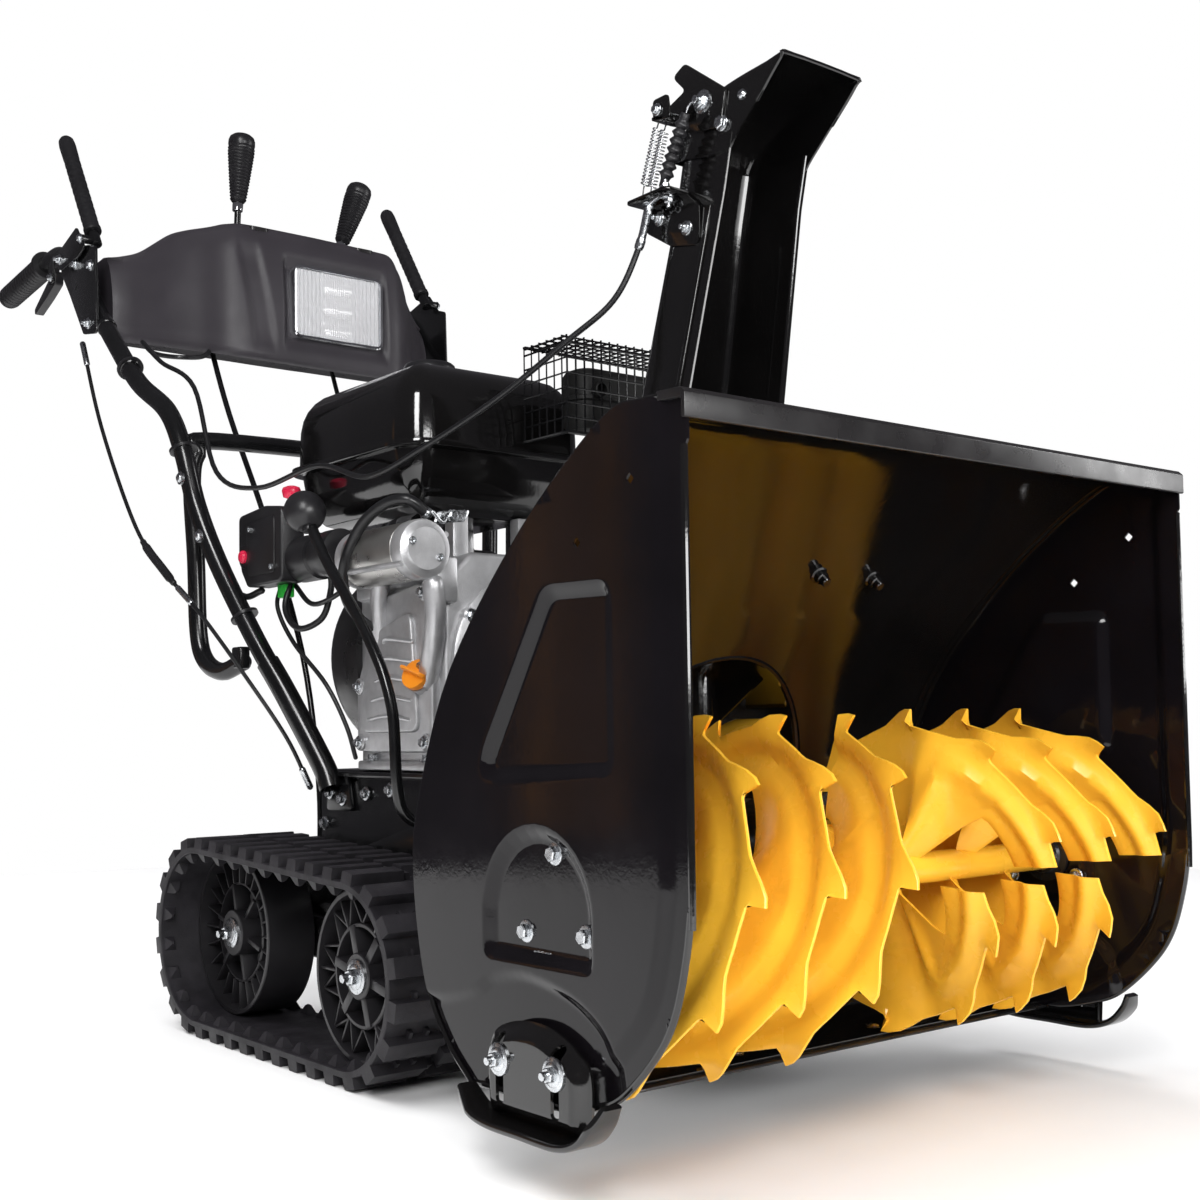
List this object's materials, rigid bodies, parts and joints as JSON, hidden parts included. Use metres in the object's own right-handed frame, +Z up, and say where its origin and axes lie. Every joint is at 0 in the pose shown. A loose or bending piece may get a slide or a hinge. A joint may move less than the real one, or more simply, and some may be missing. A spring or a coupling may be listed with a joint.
{
  "type": "two-stage snowblower",
  "caption": "Walk-behind two-stage snowblower on rubber tracks, with serrated augers, an impeller, a turning chute with a tilting deflector, an engine and a control console.",
  "frame": {"origin": "on the ground under the middle of the bounding box", "axes": "+Z up; the auger mouth faces -Y and the operator stands at +Y, so the machine's right-hand side is -X"},
  "size_m": [0.784, 1.8403, 1.3642],
  "materials": {
    "black_paint": "deep glossy black powder coat",
    "yellow_paint": "semi-gloss yellow enamel",
    "bare_steel": "zinc-plated or bare steel, satin",
    "cast_aluminium": "as-cast, slightly rough",
    "track_rubber": "matt moulded rubber",
    "black_plastic": "satin moulded plastic",
    "grey_plastic": "fine-grained moulded plastic",
    "lamp": "clear ribbed lens over a bright reflector",
    "red_plastic": "glossy red",
    "orange_plastic": "glossy orange"
  },
  "bodies": {
    "carriage": {"track_frame": "black_paint", "track_belt_right": "track_rubber", "track_belt_left": "track_rubber"},
    "drive_right": {"drive_sprocket_right": "black_plastic"},
    "drive_left": {"drive_sprocket_left": "black_plastic"},
    "idler_right": {"idler_wheel_right": "black_plastic"},
    "idler_left": {"idler_wheel_left": "black_plastic"},
    "impeller": {"impeller_shaft": "bare_steel", "impeller": "yellow_paint", "auger_pulley": "bare_steel"},
    "augers": {"auger_shaft": "bare_steel", "auger_right": "yellow_paint", "auger_left": "yellow_paint", "worm_wheel": "cast_aluminium"},
    "crank": {"crank_pulley": "bare_steel"},
    "chute": {"chute": "black_paint", "deflector_spring_right": "bare_steel", "deflector_spring_left": "bare_steel", "deflector_boot": "track_rubber"},
    "deflector": {"deflector": "black_paint"},
    "speed_lever": {"speed_lever": "black_plastic"},
    "deflector_lever": {"deflector_lever": "black_plastic"},
    "clutch_right": {"clutch_lever_right": "track_rubber"},
    "clutch_left": {"clutch_lever_left": "track_rubber"},
    "trigger_right": {"steer_trigger_right": "black_plastic"},
    "trigger_left": {"steer_trigger_left": "black_plastic"},
    "track_lever": {"track_lever": "black_paint"},
    "shoe_right": {"skid_shoe_right": "black_paint"},
    "shoe_left": {"skid_shoe_left": "black_paint"},
    "fuel_cap": {"fuel_cap": "black_plastic"},
    "dipstick": {"dipstick": "orange_plastic"},
    "recoil_handle": {"recoil_handle": "black_plastic"},
    "stop_button": {"stop_button": "red_plastic"},
    "chassis": {"housing_shell": "black_paint", "side_plate_right": "black_paint", "side_plate_left": "black_paint", "impeller_housing": "black_paint", "frame_box": "black_paint", "fuel_tank": "black_paint", "handlebar_right": "black_paint", "handlebar_left": "black_paint", "rear_hoop": "black_paint", "auger_gearbox": "yellow_paint", "scraper_blade": "bare_steel", "muffler": "bare_steel", "muffler_guard": "bare_steel", "drive_axle": "bare_steel", "engine_block": "cast_aluminium", "starter_motor": "cast_aluminium", "auger_belt": "track_rubber", "grip_right": "track_rubber", "grip_left": "track_rubber", "belt_cover": "black_plastic", "switch_box": "black_plastic", "recoil_starter": "black_plastic", "deflector_cable": "black_plastic", "clutch_cable_right": "black_plastic", "clutch_cable_left": "black_plastic", "console": "grey_plastic", "headlight": "lamp"}
  },
  "joints": [
    {"name": "track_tilt", "type": "hinge", "parent": "carriage", "child": "chassis", "pos_m": [0, 0.0965, 0.1287], "axis": [-1, 0, 0], "range_deg": [0, 6]},
    {"name": "drive_spin_right", "type": "hinge", "parent": "carriage", "child": "drive_right", "pos_m": [0, 0.0965, 0.1287], "axis": [1, 0, 0], "continuous": true},
    {"name": "drive_spin_left", "type": "hinge", "parent": "carriage", "child": "drive_left", "pos_m": [0, 0.0965, 0.1287], "axis": [1, 0, 0], "continuous": true},
    {"name": "idler_spin_right", "type": "hinge", "parent": "carriage", "child": "idler_right", "pos_m": [0, -0.288, 0.12], "axis": [1, 0, 0], "continuous": true},
    {"name": "idler_spin_left", "type": "hinge", "parent": "carriage", "child": "idler_left", "pos_m": [0, -0.288, 0.12], "axis": [1, 0, 0], "continuous": true},
    {"name": "impeller_spin", "type": "hinge", "parent": "chassis", "child": "impeller", "pos_m": [0, -0.549, 0.305], "axis": [0, 1, 0], "continuous": true},
    {"name": "auger_spin", "type": "hinge", "parent": "chassis", "child": "augers", "pos_m": [0, -0.739, 0.24], "axis": [1, 0, 0], "continuous": true},
    {"name": "crank_spin", "type": "hinge", "parent": "chassis", "child": "crank", "pos_m": [-0.02, -0.357, 0.47], "axis": [0, 1, 0], "continuous": true},
    {"name": "chute_turn", "type": "hinge", "parent": "chassis", "child": "chute", "pos_m": [0, -0.549, 0.676], "axis": [0, 0, 1], "range_deg": [-95, 95], "deforming": ["deflector_cable"]},
    {"name": "deflector_tilt", "type": "hinge", "parent": "chute", "child": "deflector", "pos_m": [0, -0.655, 1.025], "axis": [1, 0, 0], "range_deg": [0, 55], "deforming": ["deflector_spring_right", "deflector_spring_left", "deflector_boot"]},
    {"name": "speed_select", "type": "hinge", "parent": "chassis", "child": "speed_lever", "pos_m": [-0.098, 0.433, 1.075], "axis": [1, 0, 0], "range_deg": [-15, 15]},
    {"name": "deflector_select", "type": "hinge", "parent": "chassis", "child": "deflector_lever", "pos_m": [0.074, 0.433, 1.075], "axis": [1, 0, 0], "range_deg": [0, 22]},
    {"name": "clutch_press_right", "type": "hinge", "parent": "chassis", "child": "clutch_right", "pos_m": [-0.3, 0.588, 1.147], "axis": [-1, 0, 0], "range_deg": [0, 62], "stiffness_Nm_per_rad": 2, "springref_deg": -20.05},
    {"name": "clutch_press_left", "type": "hinge", "parent": "chassis", "child": "clutch_left", "pos_m": [0.3, 0.588, 1.147], "axis": [-1, 0, 0], "range_deg": [0, 62], "stiffness_Nm_per_rad": 2, "springref_deg": -20.05},
    {"name": "steer_squeeze_right", "type": "hinge", "parent": "chassis", "child": "trigger_right", "pos_m": [-0.3, 0.668, 1.14], "axis": [1, 0, 0], "range_deg": [0, 15], "stiffness_Nm_per_rad": 0.4, "springref_deg": -17.19},
    {"name": "steer_squeeze_left", "type": "hinge", "parent": "chassis", "child": "trigger_left", "pos_m": [0.3, 0.668, 1.14], "axis": [1, 0, 0], "range_deg": [0, 15], "stiffness_Nm_per_rad": 0.4, "springref_deg": -17.19},
    {"name": "track_select", "type": "hinge", "parent": "chassis", "child": "track_lever", "pos_m": [-0.2, -0.289, 0.282], "axis": [1, 0, 0], "range_deg": [0, 18]},
    {"name": "shoe_height_right", "type": "slide", "parent": "chassis", "child": "shoe_right", "axis": [0, 0, 1], "range_m": [-0.018, 0.018]},
    {"name": "shoe_height_left", "type": "slide", "parent": "chassis", "child": "shoe_left", "axis": [0, 0, 1], "range_m": [-0.018, 0.018]},
    {"name": "cap_turn", "type": "hinge", "parent": "chassis", "child": "fuel_cap", "pos_m": [-0.034, -0.042, 0.8615], "axis": [0, 0, 1], "range_deg": [0, 180]},
    {"name": "dipstick_turn", "type": "hinge", "parent": "chassis", "child": "dipstick", "pos_m": [-0.1605, -0.217, 0.455], "axis": [-0.8548, -0.3017, 0.4223], "range_deg": [0, 360]},
    {"name": "starter_pull", "type": "slide", "parent": "chassis", "child": "recoil_handle", "axis": [0, 0.6, 0.8], "range_m": [0, 0.3]},
    {"name": "stop_press", "type": "slide", "parent": "chassis", "child": "stop_button", "axis": [1, 0, 0], "range_m": [0, 0.004], "stiffness_N_per_m": 300, "springref_m": -0.002}
  ],
  "couplings": [
    {"joint": "auger_spin", "follows": "impeller_spin", "ratio": 0.05},
    {"joint": "crank_spin", "follows": "impeller_spin", "ratio": 1.9744},
    {"joint": "idler_spin_right", "follows": "drive_spin_right", "ratio": 1.0888},
    {"joint": "idler_spin_left", "follows": "drive_spin_left", "ratio": 1.0888},
    {"joint": "deflector_select", "follows": "deflector_tilt", "ratio": 0.4},
    {"joint": "track_select", "follows": "track_tilt", "ratio": 3}
  ]
}
